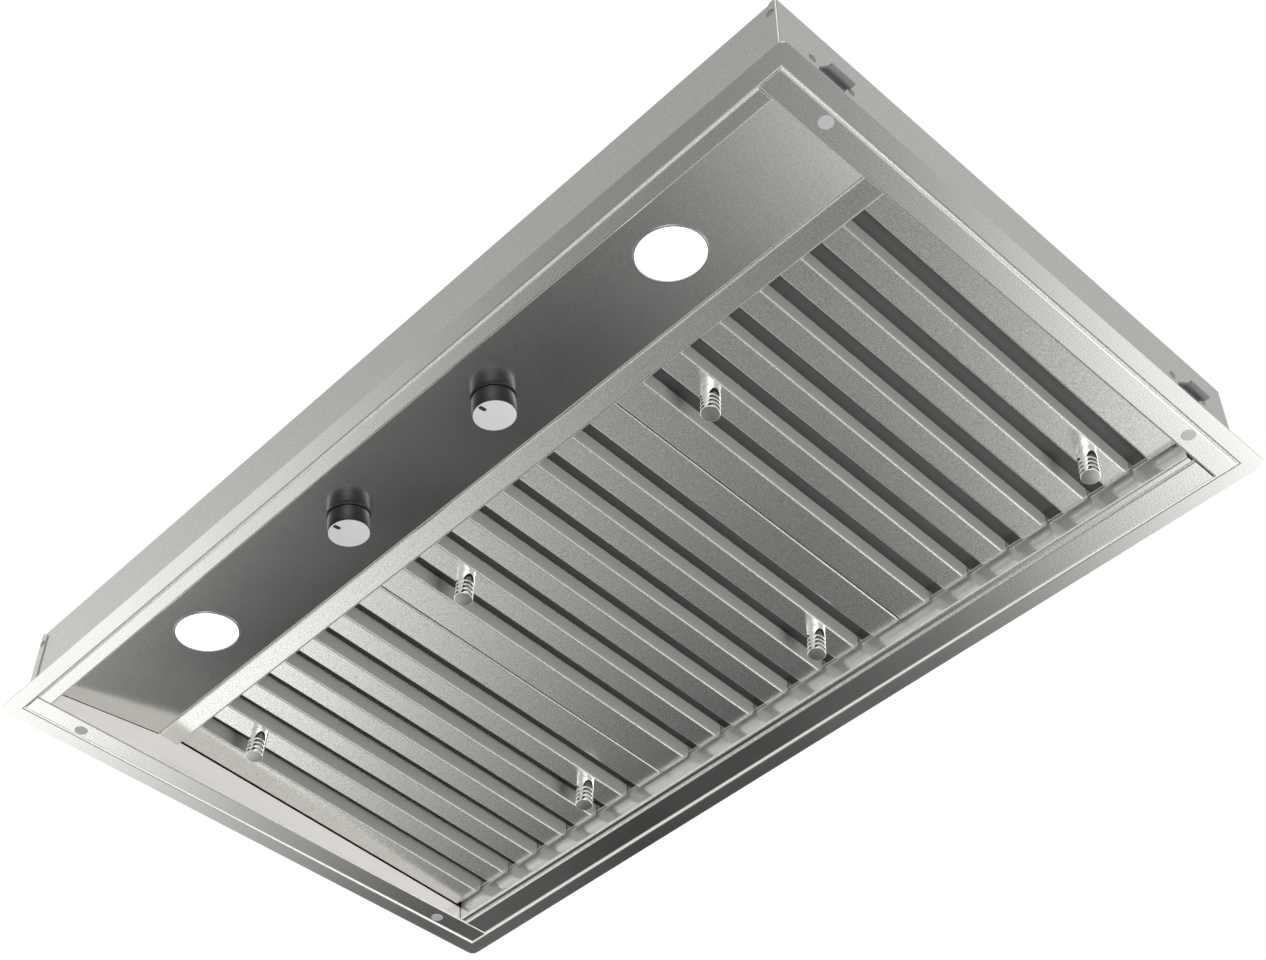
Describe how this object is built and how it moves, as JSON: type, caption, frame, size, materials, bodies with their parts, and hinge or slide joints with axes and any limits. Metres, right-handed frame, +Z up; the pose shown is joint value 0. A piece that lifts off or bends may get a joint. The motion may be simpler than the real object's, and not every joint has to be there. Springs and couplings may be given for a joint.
{
  "type": "range hood insert",
  "caption": "Stainless range hood insert with sloped control panel, knobs, recessed lights, lift-out baffle filters, side clamps, blower and damped duct collar.",
  "frame": {"origin": "middle of the cabinet cut-out in plan, level with the visible lower face of the trim and flange", "axes": "+X along the length, to the right of a person who stands in front; +Y from the control side to the kitchen wall; +Z up"},
  "size_m": [0.8954, 0.5214, 0.3352],
  "materials": {
    "body_sheet": "satin",
    "trim_sheet": "satin",
    "panel_sheet": "satin",
    "baffle_sheet": "satin",
    "galvanised": "spangled",
    "handle_chrome": "polished",
    "bezel_metal": "satin",
    "light_lens": "frosted white",
    "lamp_can": "cast",
    "switch_plastic": "moulded",
    "knob_metal": "satin face, polished side",
    "clamp_steel": "dark zinc",
    "cap_plastic": "moulded grey",
    "rivet_metal": "plain",
    "plain_steel": "turned",
    "driver_case": "moulded",
    "motor_paint": "satin",
    "fan_metal": "galvanised"
  },
  "bodies": {
    "hood": {"front_wall": "body_sheet", "rear_wall": "body_sheet", "left_wall": "body_sheet", "right_wall": "body_sheet", "top_plate": "galvanised", "lap_rivets": "rivet_metal", "front_trim": "trim_sheet", "rear_trim": "trim_sheet", "left_trim": "trim_sheet", "right_trim": "trim_sheet", "rear_gutter": "trim_sheet", "control_panel": "panel_sheet", "filter_rail": "trim_sheet", "left_light_bezel": "bezel_metal", "left_light_lens": "light_lens", "left_light_housing": "lamp_can", "right_light_bezel": "bezel_metal", "right_light_lens": "light_lens", "right_light_housing": "lamp_can", "fan_switch": "switch_plastic", "light_switch": "switch_plastic", "knob_rings": "bezel_metal", "clamp_brackets": "galvanised", "clamp_rivets": "rivet_metal", "clamp_screws": "plain_steel", "screw_caps": "cap_plastic", "led_driver": "driver_case", "blower_housing": "galvanised", "blower_scroll": "galvanised", "fan_motor": "motor_paint", "motor_bracket": "galvanised", "housing_screws": "plain_steel", "duct_collar": "galvanised", "damper_rod": "plain_steel", "junction_box": "galvanised", "junction_cover": "galvanised"},
    "left_filter": {"left_filter_frame": "baffle_sheet", "left_filter_lower_baffles": "baffle_sheet", "left_filter_upper_baffles": "baffle_sheet", "left_filter_handles": "handle_chrome"},
    "middle_filter": {"middle_filter_frame": "baffle_sheet", "middle_filter_lower_baffles": "baffle_sheet", "middle_filter_upper_baffles": "baffle_sheet", "middle_filter_handles": "handle_chrome"},
    "right_filter": {"right_filter_frame": "baffle_sheet", "right_filter_lower_baffles": "baffle_sheet", "right_filter_upper_baffles": "baffle_sheet", "right_filter_handles": "handle_chrome"},
    "fan_control": {"fan_shaft": "plain_steel", "fan_knob": "knob_metal"},
    "light_control": {"light_shaft": "plain_steel", "light_knob": "knob_metal"},
    "front_left_clamp": {"front_left_clamp": "clamp_steel"},
    "front_right_clamp": {"front_right_clamp": "clamp_steel"},
    "rear_left_clamp": {"rear_left_clamp": "clamp_steel"},
    "rear_right_clamp": {"rear_right_clamp": "clamp_steel"},
    "fan": {"fan_wheel": "fan_metal", "fan_shaft_rod": "plain_steel"},
    "front_flap": {"front_damper_flap": "fan_metal"},
    "rear_flap": {"rear_damper_flap": "fan_metal"}
  },
  "joints": [
    {"name": "left_filter_lift", "type": "slide", "parent": "hood", "child": "left_filter", "axis": [0, 0.0497, 0.9988], "range_m": [0, 0.018]},
    {"name": "middle_filter_lift", "type": "slide", "parent": "hood", "child": "middle_filter", "axis": [0, 0.0497, 0.9988], "range_m": [0, 0.018]},
    {"name": "right_filter_lift", "type": "slide", "parent": "hood", "child": "right_filter", "axis": [0, 0.0497, 0.9988], "range_m": [0, 0.018]},
    {"name": "fan_control_turn", "type": "hinge", "parent": "hood", "child": "fan_control", "pos_m": [-0.0845, -0.18202, 0.01966], "axis": [0, -0.1288, 0.9917], "range_deg": [0, 270]},
    {"name": "light_control_turn", "type": "hinge", "parent": "hood", "child": "light_control", "pos_m": [0.0845, -0.18202, 0.01966], "axis": [0, -0.1288, 0.9917], "range_deg": [0, 270]},
    {"name": "front_left_clamp_travel", "type": "slide", "parent": "hood", "child": "front_left_clamp", "axis": [0, 0, -1], "range_m": [0, 0.016]},
    {"name": "front_right_clamp_travel", "type": "slide", "parent": "hood", "child": "front_right_clamp", "axis": [0, 0, -1], "range_m": [0, 0.016]},
    {"name": "rear_left_clamp_travel", "type": "slide", "parent": "hood", "child": "rear_left_clamp", "axis": [0, 0, -1], "range_m": [0, 0.016]},
    {"name": "rear_right_clamp_travel", "type": "slide", "parent": "hood", "child": "rear_right_clamp", "axis": [0, 0, -1], "range_m": [0, 0.016]},
    {"name": "fan_spin", "type": "hinge", "parent": "hood", "child": "fan", "pos_m": [0, 0.04, 0.186], "axis": [1, 0, 0], "continuous": true},
    {"name": "front_flap_turn", "type": "hinge", "parent": "hood", "child": "front_flap", "pos_m": [0, 0.112, 0.284], "axis": [-1, 0, 0], "range_deg": [0, 70]},
    {"name": "rear_flap_turn", "type": "hinge", "parent": "hood", "child": "rear_flap", "pos_m": [0, 0.112, 0.284], "axis": [1, 0, 0], "range_deg": [0, 70]}
  ]
}
